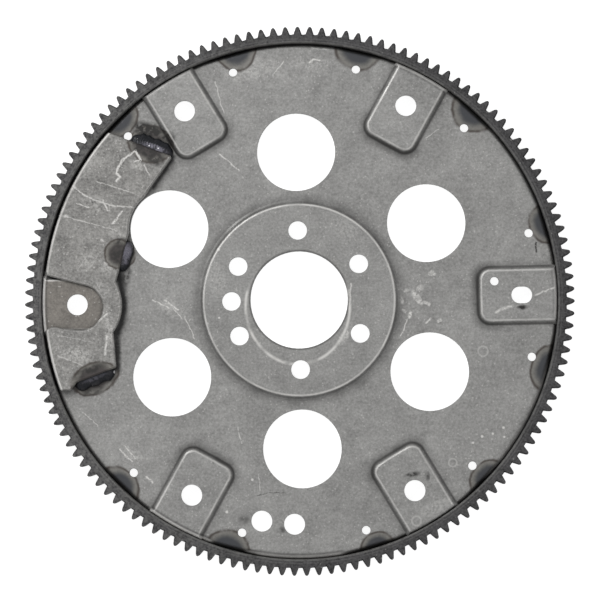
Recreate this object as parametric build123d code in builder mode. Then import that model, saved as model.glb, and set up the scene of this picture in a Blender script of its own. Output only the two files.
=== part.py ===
from build123d import *
import math
import os

# A flexplate lying flat, in millimetres. Z is the crankshaft's axis, and Z = 0 is the raised
# hub face, which lies against the crankshaft's flange. The face seen from above is +Z.
# Angles are in degrees, anticlockwise from +X as seen from above.

# The ring gear
tip_radius = 179.05
tooth_count = 139
tooth_addendum = 2.52
tooth_height = 4.95
tooth_thickness = 3.8
pressure_angle = 20.0
tip_round_height = 0.86
tip_land_width = 1.1
ring_rim_height = 5.5
ring_width = 12.0
ring_above_web = 4.0
ring_bore_chamfer = 0.7
lead_in_depth = 2.6
lead_in_width = 1.5
lead_in_overrun = 0.2
first_tooth_angle = 1.05

# The disc, one pressed sheet, turned down at its rim into a flange that fits the ring's bore
sheet_thickness = 2.8
bore_diameter = 63.5
hub_face_radius = 62.6
hub_rise = 2.5
hub_edge_bevel = 0.5
hub_foot_bevel = 0.8
pressed_wall_angle = 45.0
rim_bend_radius = 3.2

# The flats on the flange, one at each ring weld
weld_count = 12
first_weld_angle = 15.0
weld_flat_depth = 0.85

# The raised pads that carry the converter's bolts. Insets run inwards from the flange.
pad_count = 6
pad_rise = 3.0
pad_width = 32.9
pad_inset = 50.1
pad_end_bow = 1.6
pad_corner_radius = 6.0
pad_edge_bevel = 0.6
converter_hole_inset = 23.6
converter_hole_diameter = 13.7
slot_length = 13.6
slot_width = 10.9
gauge_hole_inset = 41.2
gauge_hole_aside = 9.3

# Other holes in the disc
crank_bolt_count = 6
crank_circle_radius = 45.466
crank_hole_diameter = 12.2
crank_hole_angle = 30.0
extra_hole_radius = 44.2
lightening_count = 6
lightening_diameter = 51.2
lightening_outset = 6.55
lightening_angle = 30.0
small_hole_inset = 12.6
small_hole_diameter = 5.5
balance_hole_inset = 22.6
balance_hole_diameter = 13.6
balance_angles = (-100.8, -92.4)

# The ring welds, in the step where the flange ends short of the ring's back
flange_setback = 2.0
ring_weld_length = 30.0
ring_weld_reach = 5.2
ring_weld_height = 1.7

# The counterweight, a plate on the web that bridges the pad on the -X side. Its upper end is
# placed from the side of the next pad. Each place is given as the way in from the flange, along
# that pad's middle line, and the way aside from the pad's foot or from its middle line.
bridged_pad = 3
weight_thickness = 6.0
weight_rim_gap = 2.4
weight_upper_toe_gap = 30.55
weight_upper_corner_inset = 45.36
weight_upper_corner_gap = 2.81
weight_hole_margin = 0.7
weight_hole_arc_start = 128.0
weight_hole_arc_end = 184.0
weight_bulge_start = (49.3, -14.0)
weight_bulge_crest = (53.0, 1.9)
weight_bulge_end = (47.0, 18.5)
weight_lower_corner = (48.5, 41.6)
weight_lower_step = (22.7, 50.8)
weight_toe = (18.4, 55.9)
weight_lower_toe_aside = 55.75
weight_corner_round = 1.5
weight_edge_bevel = 0.9
weight_clearance = 0.3
notch_center = (25.8, 2.0)
notch_radius = 14.8
notch_mouth_upper = 19.9
notch_mouth_lower = -13.5
notch_mouth_round = 4.0

# The counterweight's weld beads: where each starts and ends along its edge, and its width.
# The upper one ends short of the pad beside it.
upper_bead_pad_gap = 0.64
upper_bead_length = 13.9
upper_bead_width = 7.4
inner_bead_run = (10.5, 21.0)
inner_bead_width = 5.2
lower_bead_run = (7.7, 24.0)
lower_bead_width = 6.2
bead_height = 4.8
bead_wall_angle = 40.0

# Radii and places that follow from the ring's tip or from the hub
pitch_radius = tip_radius - tooth_addendum
root_radius = tip_radius - tooth_height
flange_radius = root_radius - ring_rim_height
pad_inner_radius = flange_radius - pad_inset
converter_circle_radius = flange_radius - converter_hole_inset
small_circle_radius = flange_radius - small_hole_inset
balance_circle_radius = flange_radius - balance_hole_inset
gauge_hole_place = (flange_radius - gauge_hole_inset, gauge_hole_aside)
lightening_circle_radius = (hub_face_radius + pad_inner_radius) / 2 + lightening_outset
weight_outer_radius = flange_radius - weight_rim_gap

# Levels that follow from the sizes above
hub_z = 0.0
web_z = hub_z - hub_rise
pad_z = web_z + pad_rise
ring_face_z = web_z + ring_above_web
ring_back_z = ring_face_z - ring_width
flange_end_z = ring_back_z + flange_setback
pass_through = 5.0
wall_run = 1 / math.tan(math.radians(pressed_wall_angle))
wall_shift = math.tan(math.radians(pressed_wall_angle / 2))
pad_foot_grow = pad_rise * wall_run
pad_foot_side = pad_width / 2 + pad_foot_grow
pad_pitch = 360 / pad_count

os.makedirs("parts", exist_ok=True)


def on_circle(radius, angle):
    """A point on a circle about the axis."""
    return (radius * math.cos(math.radians(angle)), radius * math.sin(math.radians(angle)))


def by_pad(number, outward, aside):
    """A point given along a pad's middle line, and aside from it on its anticlockwise side."""
    x, y = on_circle(outward, number * pad_pitch)
    aside_x, aside_y = on_circle(aside, number * pad_pitch + 90)
    return (x + aside_x, y + aside_y)


def by_bridged_pad(inset, aside):
    """A point in from the flange along the middle line of the pad that the weight bridges."""
    return by_pad(bridged_pad, flange_radius - inset, aside)


def write(piece, node):
    """Name a finished piece and write it."""
    piece.part.label = node
    export_step(piece.part, f"parts/{node}.step")


def turned_block(radius, bottom_z, top_z, rounded):
    """A round block, its top edge turned over by the rim's bend where it is rounded."""
    with BuildPart() as block:
        with BuildSketch(Plane.XY.offset(bottom_z)):
            Circle(radius)
        extrude(amount=top_z - bottom_z)
        if rounded:
            fillet(block.edges().group_by(Axis.Z)[-1], rim_bend_radius)
    return block.part


def web_form(depth, bottom_z, rounded):
    """The web, flats and flange as a full block, its skin set in from the top face by depth."""
    skin_z = web_z - depth
    round_block = turned_block(flange_radius - depth, bottom_z, skin_z, rounded)
    with BuildPart() as form:
        with BuildSketch(Plane.XY.offset(bottom_z)):
            RegularPolygon(flange_radius - weld_flat_depth - depth, weld_count, major_radius=False)
        extrude(amount=skin_z - bottom_z)
        if rounded:
            fillet(form.edges().group_by(Axis.Z)[-1], rim_bend_radius)
        add(round_block, mode=Mode.INTERSECT)
    return form.part


def pad_form(depth, bottom_z, rounded):
    """The pad on the +X side as a full block, its skin set in from the top face by depth."""
    skin_z = web_z - depth
    grow = pad_foot_grow - depth * wall_shift
    half_width = pad_width / 2 + grow
    inner_x = pad_inner_radius - grow
    side_x = inner_x + pad_end_bow
    outer_x = flange_radius + pass_through + grow
    rim_block = turned_block(flange_radius - depth, bottom_z, skin_z + pad_rise, rounded)
    with BuildPart() as form:
        with BuildSketch(Plane.XY.offset(skin_z)) as foot:
            with BuildLine():
                ThreePointArc((side_x, half_width), (inner_x, 0), (side_x, -half_width))
                Polyline(
                    (side_x, -half_width), (outer_x, -half_width), (outer_x, half_width), (side_x, half_width)
                )
            make_face()
            fillet(foot.vertices().group_by(Axis.X)[0], pad_corner_radius + grow)
        extrude(amount=pad_rise, taper=90 - pressed_wall_angle)
        if rounded:
            chamfer(form.faces().sort_by(Axis.Z)[-1].edges(), pad_edge_bevel)
        extrude(foot.sketch, amount=bottom_z - skin_z)
        add(rim_block, mode=Mode.INTERSECT)
    return form.part


def hub_form(depth, rounded):
    """The hub's raised step, turned about the axis, its skin set in from the top face by depth."""
    skin_z = web_z - depth
    top_z = skin_z + hub_rise
    edge_radius = hub_face_radius - depth * wall_shift
    foot_radius = edge_radius + hub_rise * wall_run
    slope_x = math.cos(math.radians(pressed_wall_angle))
    slope_z = math.sin(math.radians(pressed_wall_angle))
    if rounded:
        step = [
            (foot_radius + hub_foot_bevel, skin_z),
            (foot_radius - hub_foot_bevel * slope_x, skin_z + hub_foot_bevel * slope_z),
            (edge_radius + hub_edge_bevel * slope_x, top_z - hub_edge_bevel * slope_z),
            (edge_radius - hub_edge_bevel, top_z),
        ]
    else:
        step = [(foot_radius, skin_z), (edge_radius, top_z)]
    with BuildPart() as form:
        with BuildSketch(Plane.XZ):
            with BuildLine():
                Polyline(
                    (0, skin_z - sheet_thickness),
                    (step[0][0], skin_z - sheet_thickness),
                    *step,
                    (0, top_z),
                    close=True,
                )
            make_face()
        revolve(axis=Axis.Z)
    return form.part


def pressed_form(depth, bottom_z, rounded):
    """The pressed disc as a full block, its skin set in from the top face by depth."""
    web = web_form(depth, bottom_z, rounded)
    hub = hub_form(depth, rounded)
    pad = pad_form(depth, bottom_z, rounded)
    with BuildPart() as form:
        add(web)
        add(hub)
        with PolarLocations(0, pad_count):
            add(pad)
    return form.part


# The disc: the pressed form, hollowed by the same form one sheet lower, then pierced.
# The rounds are on the face, and the corners of the back are sharp.
pressed_face = pressed_form(0, flange_end_z, True)
pressed_back = pressed_form(sheet_thickness, flange_end_z - pass_through, False)

with BuildPart() as flexplate_disc:
    add(pressed_face)
    add(pressed_back, mode=Mode.SUBTRACT)
    with BuildSketch(Plane.XY.offset(flange_end_z)):
        Circle(bore_diameter / 2)
        with PolarLocations(crank_circle_radius, crank_bolt_count, start_angle=crank_hole_angle):
            Circle(crank_hole_diameter / 2)
        with Locations((-extra_hole_radius, 0)):
            Circle(crank_hole_diameter / 2)
        with PolarLocations(lightening_circle_radius, lightening_count, start_angle=lightening_angle):
            Circle(lightening_diameter / 2)
        for number in range(1, pad_count):
            with Locations(on_circle(converter_circle_radius, number * pad_pitch)):
                Circle(converter_hole_diameter / 2)
        with Locations((converter_circle_radius, 0)):
            SlotOverall(slot_length, slot_width)
        with Locations(gauge_hole_place):
            Circle(small_hole_diameter / 2)
        with PolarLocations(small_circle_radius, weld_count, start_angle=first_weld_angle):
            Circle(small_hole_diameter / 2)
        for angle in balance_angles:
            with Locations(on_circle(balance_circle_radius, angle)):
                Circle(balance_hole_diameter / 2)
    extrude(amount=pad_z - flange_end_z + pass_through, mode=Mode.SUBTRACT)
write(flexplate_disc, "flexplate_disc")


# The ring gear, one tooth at a time. Each flank runs straight between two points of its
# involute, which leaves it within 0.05 of the curve, and a shorter run eases it over the tip.
def half_tooth(radius):
    """Half the angle that a tooth spans at this radius, from the involute of its base circle."""
    pitch_roll = math.radians(pressure_angle)
    roll = math.acos(pitch_radius * math.cos(pitch_roll) / radius)
    gained = (math.tan(pitch_roll) - pitch_roll) - (math.tan(roll) - roll)
    return math.degrees(tooth_thickness / (2 * pitch_radius) + gained)


tooth_pitch = 360 / tooth_count
crown_radius = tip_radius - tip_round_height
root_half = half_tooth(root_radius)
crown_half = half_tooth(crown_radius)
tip_land_half = math.degrees(tip_land_width / 2 / tip_radius)

foot = on_circle(root_radius, -root_half)
crown = on_circle(crown_radius, -crown_half)
with BuildLine() as tooth:
    Polyline(
        foot,
        crown,
        on_circle(tip_radius, -tip_land_half),
        on_circle(tip_radius, tip_land_half),
        on_circle(crown_radius, crown_half),
        on_circle(root_radius, root_half),
        on_circle(root_radius, tooth_pitch - root_half),
    )

# The starter's pinion slides in over the visible face, so each tooth is bevelled on one flank.
# The wedge that cuts the bevel reaches past the tooth by half of its own size each way.
flank = Vector(*crown) - Vector(*foot)
flank_side = flank.cross(Vector(0, 0, -1))
bevel_start = Vector(*foot, ring_face_z) - flank * lead_in_overrun
wedge_past_x = lead_in_width / 2
wedge_past_y = lead_in_depth / 2
with BuildPart() as bevel:
    with BuildSketch(Plane(bevel_start, x_dir=-flank_side, z_dir=flank)):
        with BuildLine():
            Polyline(
                (lead_in_width + wedge_past_x, wedge_past_y),
                (-wedge_past_x, wedge_past_y),
                (-wedge_past_x, -lead_in_depth - wedge_past_y),
                close=True,
            )
        make_face()
    extrude(amount=flank.length * (1 + 2 * lead_in_overrun))

with BuildPart() as ring_gear:
    with BuildSketch(Plane.XY.offset(ring_back_z)):
        with BuildLine():
            with PolarLocations(0, tooth_count, start_angle=first_tooth_angle):
                add(tooth.line)
        make_face()
        Circle(flange_radius, mode=Mode.SUBTRACT)
    extrude(amount=ring_width)
    bore_rim = ring_gear.edges().filter_by(GeomType.CIRCLE).group_by(SortBy.RADIUS)[-1]
    chamfer(bore_rim, ring_bore_chamfer)
    with PolarLocations(0, tooth_count, start_angle=first_tooth_angle):
        add(bevel.part, mode=Mode.SUBTRACT)
write(ring_gear, "ring_gear")


# The ring welds, one behind each flat
weld_half_angle = math.degrees(ring_weld_length / 2 / flange_radius)
for number in range(weld_count):
    weld_angle = first_weld_angle + number * 360 / weld_count
    with BuildPart() as ring_weld:
        with BuildSketch(Plane.XZ.rotated((0, 0, weld_angle - weld_half_angle))):
            with BuildLine():
                Polyline(
                    (flange_radius - ring_weld_reach, flange_end_z),
                    (flange_radius, flange_end_z),
                    (flange_radius, flange_end_z - ring_weld_height),
                    (flange_radius - ring_weld_reach / 2, flange_end_z - ring_weld_height),
                    close=True,
                )
            make_face()
        revolve(axis=Axis.Z, revolution_arc=2 * weld_half_angle)
    write(ring_weld, f"ring_weld_{number + 1:02d}")


# The counterweight's outline, walked clockwise from the upper end of its outer arc
hole_arc_center = on_circle(lightening_circle_radius, 180 - lightening_angle)
hole_arc_radius = lightening_diameter / 2 + weight_hole_margin


def beside_hole(angle):
    """A point on the arc that the plate's edge follows round its lightening hole."""
    x, y = on_circle(hole_arc_radius, angle)
    return (hole_arc_center[0] + x, hole_arc_center[1] + y)


upper_toe_aside = pad_foot_side + weight_upper_toe_gap
upper_toe_outward = math.sqrt(weight_outer_radius**2 - upper_toe_aside**2)
lower_toe_outward = math.sqrt(weight_outer_radius**2 - weight_lower_toe_aside**2)
upper_toe = by_pad(bridged_pad - 1, upper_toe_outward, upper_toe_aside)
upper_corner = by_pad(
    bridged_pad - 1, flange_radius - weight_upper_corner_inset, pad_foot_side + weight_upper_corner_gap
)
bulge_start = by_bridged_pad(*weight_bulge_start)
bulge_end = by_bridged_pad(*weight_bulge_end)
lower_corner = by_bridged_pad(*weight_lower_corner)
lower_step = by_bridged_pad(*weight_lower_step)
lower_toe = by_pad(bridged_pad, lower_toe_outward, weight_lower_toe_aside)
outer_middle = on_circle(weight_outer_radius, bridged_pad * pad_pitch)
hole_arc_start = beside_hole(weight_hole_arc_start)
hole_arc_middle = beside_hole((weight_hole_arc_start + weight_hole_arc_end) / 2)
hole_arc_end = beside_hole(weight_hole_arc_end)
notch_mouth_x = -(weight_outer_radius + weight_clearance)
channel_width = pad_width + 2 * (pad_foot_grow + weight_clearance)
channel_inner_x = pad_inner_radius - pad_foot_grow - weight_clearance - pass_through

with BuildSketch() as notch:
    with Locations(by_bridged_pad(*notch_center)):
        Circle(notch_radius)
    with BuildLine():
        Line((notch_mouth_x, notch_mouth_upper), (notch_mouth_x, notch_mouth_lower))
    make_hull()

with BuildPart() as counterweight:
    with BuildSketch(Plane.XY.offset(web_z)) as weight_plan:
        with BuildLine():
            Polyline(upper_toe, upper_corner, hole_arc_start)
            ThreePointArc(hole_arc_start, hole_arc_middle, hole_arc_end)
            Line(hole_arc_end, bulge_start)
            ThreePointArc(bulge_start, by_bridged_pad(*weight_bulge_crest), bulge_end)
            Polyline(bulge_end, lower_corner, lower_step, by_bridged_pad(*weight_toe), lower_toe)
            ThreePointArc(lower_toe, outer_middle, upper_toe)
        make_face()
        fillet(weight_plan.vertices(), weight_corner_round)
        add(notch.sketch, mode=Mode.SUBTRACT)
        fillet(weight_plan.vertices().sort_by(Axis.X)[:2], notch_mouth_round)
    extrude(amount=weight_thickness)
    with BuildSketch(Plane.XY.offset(web_z)):
        with Locations((-channel_inner_x, 0)):
            Rectangle(weight_outer_radius, channel_width, align=(Align.MAX, Align.CENTER))
    extrude(amount=pad_rise + weight_clearance, mode=Mode.SUBTRACT)
    chamfer(counterweight.faces().sort_by(Axis.Z)[-1].edges(), weight_edge_bevel)
write(counterweight, "counterweight")


# Its weld beads: each is a sloped strip astride the edge, less the plate itself. The upper one
# lies as far along its edge as its gap to the pad's foot lets it.
upper_edge_length = (Vector(*upper_corner) - Vector(*upper_toe)).length
upper_edge_fall = weight_upper_toe_gap - weight_upper_corner_gap
upper_bead_fall = weight_upper_toe_gap - upper_bead_pad_gap - upper_bead_width
upper_bead_end = upper_edge_length * upper_bead_fall / upper_edge_fall
upper_bead_run = (upper_bead_end - upper_bead_length, upper_bead_end)

for node, edge_start, edge_end, run, width in (
    ("counterweight_weld_upper", upper_toe, upper_corner, upper_bead_run, upper_bead_width),
    ("counterweight_weld_inner", hole_arc_end, bulge_start, inner_bead_run, inner_bead_width),
    ("counterweight_weld_lower", lower_corner, lower_step, lower_bead_run, lower_bead_width),
):
    along = (Vector(*edge_end) - Vector(*edge_start)).normalized()
    middle = Vector(*edge_start) + along * sum(run) / 2
    with BuildPart() as bead:
        with BuildSketch(Plane((middle.X, middle.Y, web_z), x_dir=along)):
            SlotCenterToCenter(run[1] - run[0], 2 * width)
        extrude(amount=bead_height, taper=bead_wall_angle)
        add(counterweight.part, mode=Mode.SUBTRACT)
    write(bead, node)
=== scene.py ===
"""The looks of a worn steel flexplate, laid out as an add-on and run as a script.

Lengths are in metres in the row frame. Places and sizes that are easier to read in
millimetres are written so and turned to metres by mm(). Angles are in degrees until used.
"""

import math

import bmesh
import bpy
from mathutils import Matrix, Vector, noise


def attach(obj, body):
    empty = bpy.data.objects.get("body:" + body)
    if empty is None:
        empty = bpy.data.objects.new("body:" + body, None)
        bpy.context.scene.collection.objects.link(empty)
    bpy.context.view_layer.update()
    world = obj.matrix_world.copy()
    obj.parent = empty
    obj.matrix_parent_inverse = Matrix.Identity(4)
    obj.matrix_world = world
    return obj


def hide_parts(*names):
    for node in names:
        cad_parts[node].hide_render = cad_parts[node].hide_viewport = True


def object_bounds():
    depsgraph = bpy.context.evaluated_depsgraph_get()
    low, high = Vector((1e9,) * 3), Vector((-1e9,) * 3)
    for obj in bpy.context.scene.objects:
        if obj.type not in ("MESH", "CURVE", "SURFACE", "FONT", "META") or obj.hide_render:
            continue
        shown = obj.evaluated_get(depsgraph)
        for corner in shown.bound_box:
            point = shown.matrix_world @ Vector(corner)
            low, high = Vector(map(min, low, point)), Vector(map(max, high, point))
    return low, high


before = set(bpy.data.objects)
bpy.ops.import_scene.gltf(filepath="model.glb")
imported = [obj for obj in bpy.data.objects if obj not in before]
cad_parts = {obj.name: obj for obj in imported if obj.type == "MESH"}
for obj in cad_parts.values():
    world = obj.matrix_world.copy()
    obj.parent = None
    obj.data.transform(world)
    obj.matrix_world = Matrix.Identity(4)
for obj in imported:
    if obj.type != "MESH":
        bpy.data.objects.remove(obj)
cad_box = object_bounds()

bl_info = {
    "name": "Worn flexplate",
    "version": (1, 0, 0),
    "blender": (4, 5, 0),
    "location": "3D View > Sidebar > Flexplate",
    "description": "Dresses a flexplate's solids in worn steel, heat tints and weld beads, on a pale stage",
    "category": "Object",
}

RING_WELD_NODES = tuple(name for name in sorted(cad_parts) if name.startswith("ring_weld_"))


def mm(*lengths):
    """Millimetres as metres: one number, or a tuple of them."""
    metres = tuple(length * 0.001 for length in lengths)
    return metres[0] if len(metres) == 1 else metres


# What a user would change


def number_property(name, description, default, **unit):
    return bpy.props.FloatProperty(name=name, description=description, default=default, **unit)


def length_property(name, description, millimetres):
    return number_property(name, description, mm(millimetres), unit="LENGTH", precision=5)


def angle_property(name, description, degrees):
    return number_property(name, description, math.radians(degrees), unit="ROTATION")


def colour_property(name, description, colour):
    return bpy.props.FloatVectorProperty(
        name=name, description=description, default=colour, size=3, min=0, max=1, subtype="COLOR"
    )


class FlexplateSizes(bpy.types.PropertyGroup):
    """Sizes of the plate that the finishes and the weld beads follow."""

    web_level: length_property("Web level", "Height of the web's face against the hub's face", -2.5)
    rim_radius: length_property("Rim radius", "Radius of the disc's turned-down rim", 168.6)
    hub_radius: length_property("Hub radius", "Radius of the raised hub face", 62.6)
    bore_radius: length_property("Bore radius", "Radius of the pilot bore", 31.75)
    pad_count: bpy.props.IntProperty(
        name="Pads", description="How many raised pads there are", default=6, min=1
    )
    pad_start: length_property("Pad start", "Radius at which a pad's upper face begins", 118.5)
    pad_width: length_property("Pad width", "Width of a pad's upper face", 32.9)
    pad_corner: length_property("Pad corner", "Radius of a pad's corners", 6.0)
    edge_softness: length_property("Edge softness", "Radius by which edges look rounded", 0.5)


class FlexplateBeads(bpy.types.PropertyGroup):
    """Sizes of the three weld beads that hold the counterweight."""

    height: length_property("Bead height", "How high a bead stands on the web", 4.8)
    ripple_pitch: length_property("Ripple pitch", "Distance between the ripples of a bead", 1.7)
    ripple_height: length_property("Ripple height", "How high each ripple stands", 0.35)
    roughness: length_property("Bead unevenness", "How far a bead's surface wanders", 0.5)
    seat: length_property("Bead seat", "How far a bead goes into the plate beside it", 0.15)


class FlexplateColours(bpy.types.PropertyGroup):
    """Colours of the finishes."""

    plate: colour_property("Plate", "Bare steel of the disc", (0.262, 0.26, 0.253))
    weight: colour_property("Counterweight", "Bare steel of the counterweight", (0.224, 0.22, 0.211))
    ring: colour_property("Ring gear", "Hardened steel of the ring gear", (0.044, 0.043, 0.045))
    # Fresh scratches and wear, and painted highlights on edges and on the rim's crest
    bright: colour_property("Bright steel", "Fresh scratches and rubbed edges", (0.62, 0.61, 0.59))
    scale: colour_property("Weld scale", "Dark scale on the weld beads", (0.011, 0.012, 0.015))
    tint_core: colour_property("Tint core", "Blue-grey middle of a heat tint", (0.036, 0.039, 0.046))
    weld_tint: colour_property("Weld tint", "Brown tint round a counterweight bead", (0.045, 0.038, 0.038))
    tint_band: colour_property("Tint band", "Straw-grey band within a tint's line", (0.13, 0.122, 0.105))
    tint_line: colour_property("Tint line", "Brown line round a heat tint", (0.045, 0.035, 0.029))
    # Dirt and dark specks, and painted shade in corners, in the hollows by the pads and hub, round the pilot
    # bore and inside the rim's crest
    grime_and_shade: colour_property("Grime", "Dirt in corners", (0.02, 0.019, 0.018))
    # A paler tone towards the ring gear's left, and a painted highlight at its bore's edge
    pale_tone: colour_property("Dust", "Pale dust on the ring gear", (0.2, 0.198, 0.19))
    stain: colour_property("Stain", "Brown stain in the counterweight's notch", (0.165, 0.15, 0.132))
    # Painted shadow along the counterweight's inner edge and round its inner bead
    gap: colour_property("Gap", "Black gap along the counterweight's foot", (0.008, 0.008, 0.008))
    # Painted shade on the teeth's sloping faces
    bevel: colour_property("Tooth bevel", "Dark bevel on a tooth's flank", (0.009, 0.009, 0.01))
    # Painted shade in the ring gear's corners
    ring_corner_shade: colour_property("Ring corners", "Corners of the ring gear", (0.012, 0.012, 0.013))
    bead_sheen: colour_property("Bead sheen", "Where a weld bead shines", (0.15, 0.145, 0.175))
    bead_patch: colour_property("Bead patch", "Patches in a bead's scale", (0.05, 0.047, 0.05))
    # Painted glints on the beads
    bead_glint: colour_property("Bead glint", "Bare metal on a bead", (0.8, 0.8, 0.82))
    # Painted shade in the beads' corners
    bead_corner_shade: colour_property("Bead corners", "Corners of the weld beads", (0.002, 0.002, 0.002))


class FlexplateStage(bpy.types.PropertyGroup):
    """The camera, the lamps and the floor."""

    camera_distance: length_property("Camera distance", "From the camera to the web's middle", 1500)
    camera_lens: number_property("Lens", "Focal length on a 36 mm sensor", 137.81, subtype="DISTANCE_CAMERA")
    camera_aside: length_property("Camera aside", "How far the camera stands to the right", 0.541)
    tilt_up: angle_property("Tilt about X", "How far the camera leans back", 2.871)
    tilt_side: angle_property("Tilt about Y", "How far the camera leans aside", 1.417)
    roll: angle_property("Roll", "How far the camera is rolled", -1.213)
    floor_size: length_property("Floor size", "Width of the floor", 6000)
    floor_colour: colour_property("Floor", "Colour of the floor", (0.4, 0.4, 0.4))
    floor_glow: number_property("Floor white", "How white the floor shows before light falls on it", 0.92)
    key_power: number_property("Key lamp", "Power of the lamp at the upper left", 20, unit="POWER")
    fill_power: number_property("Fill lamp", "Power of the lamp at the lower right", 4, unit="POWER")
    sky_light: number_property("Sky light", "How much the surroundings light the object", 0.45)


# Short calls for a material's nodes


class Net:
    """A node tree with short calls for what the finishes use. Most calls return an output socket."""

    def __init__(self, tree):
        self.tree = tree
        self.tree.nodes.clear()

    def node(self, kind, inputs=(), **settings):
        """A node with its settings, and its inputs linked or set by name or number."""
        made = self.tree.nodes.new(kind)
        for key, value in settings.items():
            setattr(made, key, value)
        for key, value in dict(inputs).items():
            self.feed(made.inputs[key], value)
        return made

    def feed(self, socket, value):
        """Link a socket's value, or set it."""
        if isinstance(value, bpy.types.NodeSocket):
            self.tree.links.new(value, socket)
        elif socket.type == "RGBA" and len(value) == 3:
            socket.default_value = (*value, 1)
        else:
            socket.default_value = value

    def math(self, operation, *values):
        """One step of arithmetic with numbers."""
        return self.node("ShaderNodeMath", enumerate(values), operation=operation).outputs[0]

    def add(self, *values):
        return self.math("ADD", *values)

    def take(self, *values):
        return self.math("SUBTRACT", *values)

    def times(self, first, *others):
        """The product of two or more numbers."""
        for other in others:
            first = self.math("MULTIPLY", first, other)
        return first

    def larger(self, first, *others):
        """The largest of two or more numbers."""
        for other in others:
            first = self.math("MAXIMUM", first, other)
        return first

    def vector(self, operation, *values):
        """One step of arithmetic with vectors."""
        made = self.node("ShaderNodeVectorMath", enumerate(values), operation=operation)
        return made.outputs["Value" if operation in ("LENGTH", "DISTANCE", "DOT_PRODUCT") else "Vector"]

    def mix(self, factor, first, second, blend="MIX"):
        """Two colours mixed. The node keeps its sockets for colours at these numbers."""
        inputs = {0: factor, 6: first, 7: second}
        return self.node("ShaderNodeMix", inputs, data_type="RGBA", blend_type=blend).outputs[2]

    def ease(self, value, low, high, to_low=0.0, to_high=1.0):
        """A value brought smoothly from low..high to to_low..to_high."""
        inputs = {"Value": value, 1: low, 2: high, 3: to_low, 4: to_high}
        return self.node("ShaderNodeMapRange", inputs, interpolation_type="SMOOTHSTEP").outputs[0]

    def noise(self, place, size, detail=4.0, roughness=0.55, distortion=0.0):
        """Noise whose features are about this size, from 0 to 1 with its middle at 0.5."""
        inputs = {
            "Vector": place,
            "Scale": 1 / size,
            "Detail": detail,
            "Roughness": roughness,
            "Distortion": distortion,
        }
        return self.node("ShaderNodeTexNoise", inputs).outputs["Fac"]

    def cells(self, place, size):
        """Distance to the nearest of scattered points, in their own size."""
        return self.node("ShaderNodeTexVoronoi", {"Vector": place, "Scale": 1 / size}).outputs["Distance"]

    def place(self):
        """The point on the piece, in the row frame."""
        return self.node("ShaderNodeTexCoord").outputs["Object"]

    def normal(self):
        """The surface's normal, before any bump."""
        return self.node("ShaderNodeNewGeometry").outputs["Normal"]

    def in_oval(self, place, middle, radii, degrees=0.0):
        """The place as seen from an oval's middle, along its own axes and in its own radii."""
        inputs = {
            "Vector": place,
            "Location": (*middle, 0),
            "Rotation": (0, 0, math.radians(degrees)),
            "Scale": (*radii, 1),
        }
        return self.node("ShaderNodeMapping", inputs, vector_type="TEXTURE").outputs[0]

    def parts(self, vector):
        """A vector's X, Y and Z."""
        return self.node("ShaderNodeSeparateXYZ", {0: vector}).outputs

    def joined(self, x, y):
        """A vector in the plane of the plate."""
        return self.node("ShaderNodeCombineXYZ", {0: x, 1: y}).outputs[0]

    def grey(self, level):
        """A grey of this level."""
        return self.node("ShaderNodeCombineColor", {0: level, 1: level, 2: level}).outputs[0]

    def clamped(self, value):
        """A value held between 0 and 1."""
        return self.node("ShaderNodeClamp", {"Value": value}).outputs[0]

    def group(self, tree, **inputs):
        """A node group's answer."""
        return self.node("ShaderNodeGroup", inputs, node_tree=tree).outputs[0]

    def output(self, kind, shader):
        """Make a shader the tree's output."""
        self.tree.links.new(shader.outputs[0], self.node(kind).inputs[0])


def new_group(name, vectors, numbers, answer):
    """A node group with these inputs: its tree, its net, its input sockets and its answer's socket."""
    tree = bpy.data.node_groups.new(name, "ShaderNodeTree")
    for kind, keys in (("NodeSocketVector", vectors), ("NodeSocketFloat", numbers)):
        for key in keys:
            tree.interface.new_socket(key, in_out="INPUT", socket_type=kind)
    tree.interface.new_socket(answer, in_out="OUTPUT", socket_type="NodeSocketFloat")
    net = Net(tree)
    return tree, net, net.node("NodeGroupInput").outputs, net.node("NodeGroupOutput").inputs[0]


def scratch_group():
    """The nearer of one straight stretch of a scratch and those before it: 0 on its line, 1 at its edge."""
    tree, net, given, answer = new_group(
        "scratch", ("Place", "Start", "Run", "Share"), ("Sharpness", "Faintness", "Nearest"), "Nearest"
    )
    from_start = net.vector("SUBTRACT", given["Place"], given["Start"])
    held = net.clamped(net.vector("DOT_PRODUCT", from_start, given["Share"]))
    closest = net.node("ShaderNodeVectorMath", {0: given["Run"], "Scale": held}, operation="SCALE").outputs[0]
    away = net.vector("DISTANCE", from_start, closest)
    near = net.math("MULTIPLY_ADD", away, given["Sharpness"], given["Faintness"])
    net.feed(answer, net.math("MINIMUM", near, given["Nearest"]))
    return tree


def smudge_group():
    """The stronger of one oval patch and those before it, falling from Strength to 0 at its edge."""
    tree, net, given, answer = new_group(
        "smudge", ("Place", "Middle", "Along", "Aside"), ("Strength", "Strongest"), "Strongest"
    )
    flat = net.vector("SUBTRACT", given["Place"], given["Middle"])
    along = net.vector("DOT_PRODUCT", flat, given["Along"])
    across = net.vector("DOT_PRODUCT", flat, given["Aside"])
    reach = net.math("MULTIPLY_ADD", along, along, net.times(across, across))
    strength = net.times(net.take(1.0, reach), given["Strength"])
    net.feed(answer, net.larger(strength, given["Strongest"]))
    return tree


def shared_group(name, maker):
    """The group of this name, made by its maker when a finish first asks for it."""
    return bpy.data.node_groups.get(name) or maker()


# How marks wander and break up
WANDER = mm(2.4)
WANDER_PITCH = mm(5)
SCRATCH_GRAIN = mm(1.2)
SMUDGE_GRAIN = mm(3)
FADING = 0.8

# Farther than any mark or tint reaches, in its own reaches
FAR = 9.0

# Shares of the way from a heat tint's hot middle to its edge: where its band begins and is full,
# where its core begins and is full, and its brown line's middle and reach
TINT_BAND = (1.0, 0.82)
TINT_CORE = (0.86, 0.5)
TINT_LINE = (0.93, 0.12)


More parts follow.
